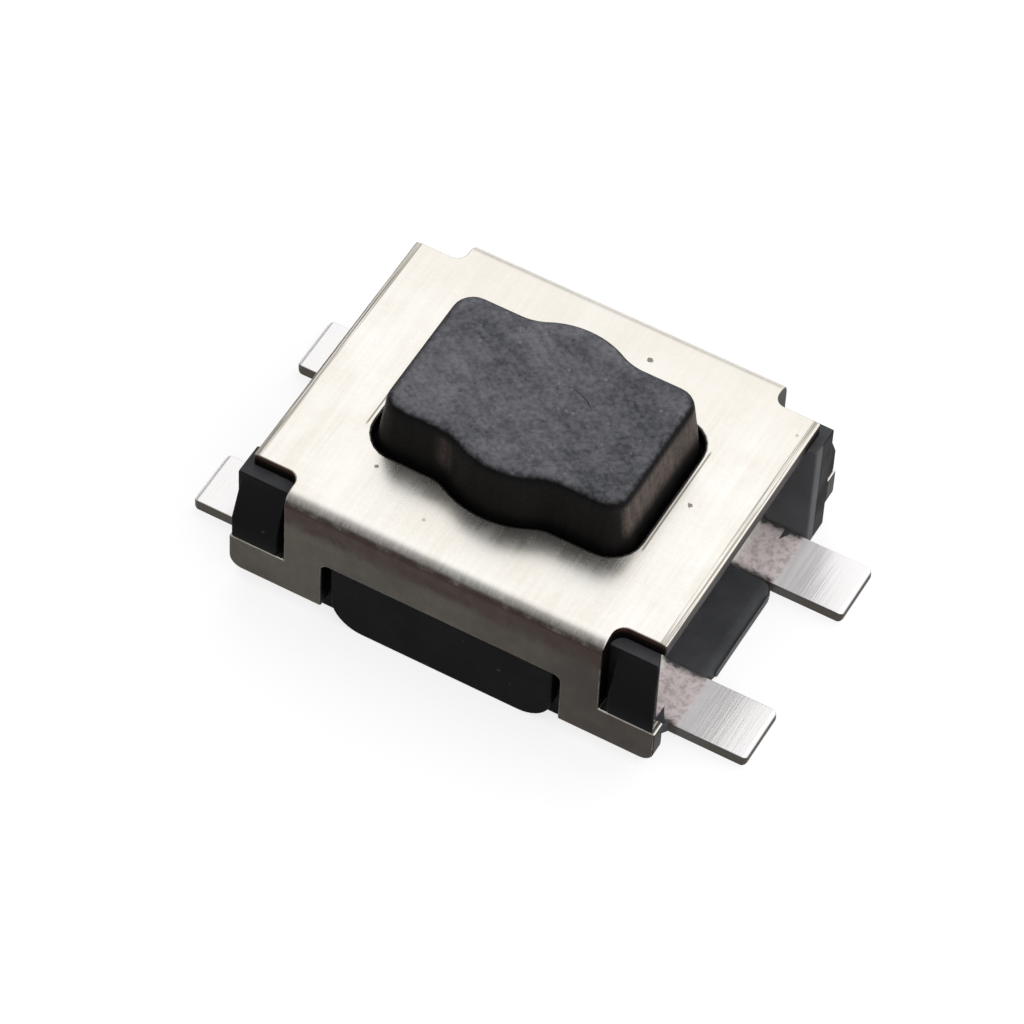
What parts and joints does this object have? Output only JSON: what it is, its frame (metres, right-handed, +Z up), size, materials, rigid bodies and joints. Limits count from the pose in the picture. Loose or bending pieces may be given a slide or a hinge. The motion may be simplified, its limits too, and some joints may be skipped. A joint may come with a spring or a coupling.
{
  "type": "tactile push button switch",
  "caption": "Surface-mount tactile switch: a clip-on metal cover over a moulded base, with a sprung push button and four flat solder legs.",
  "frame": {"origin": "centre of the base's underside, on the top face of the circuit board", "axes": "+X along the body towards one pair of legs, +Y across the body towards the lead under the dome's rim, +Z up out of the button"},
  "size_m": [0.0052, 0.0032, 0.0019],
  "materials": {
    "cover_metal": "satin, brushed across the body",
    "base_plastic": "fine matt mould texture",
    "button_plastic": "matt, lightly mottled",
    "lead_metal": "silver plated, brushed",
    "dome_metal": "bright spring metal"
  },
  "bodies": {
    "housing": {"cover": "cover_metal", "base": "base_plastic", "rim_lead": "lead_metal", "centre_lead": "lead_metal", "snap_dome": "dome_metal"},
    "button": {"button": "button_plastic"}
  },
  "joints": [
    {"name": "button_press", "type": "slide", "parent": "housing", "child": "button", "axis": [0, 0, -1], "range_m": [0, 0.0002], "stiffness_N_per_m": 8000, "deforming": ["snap_dome"]}
  ]
}
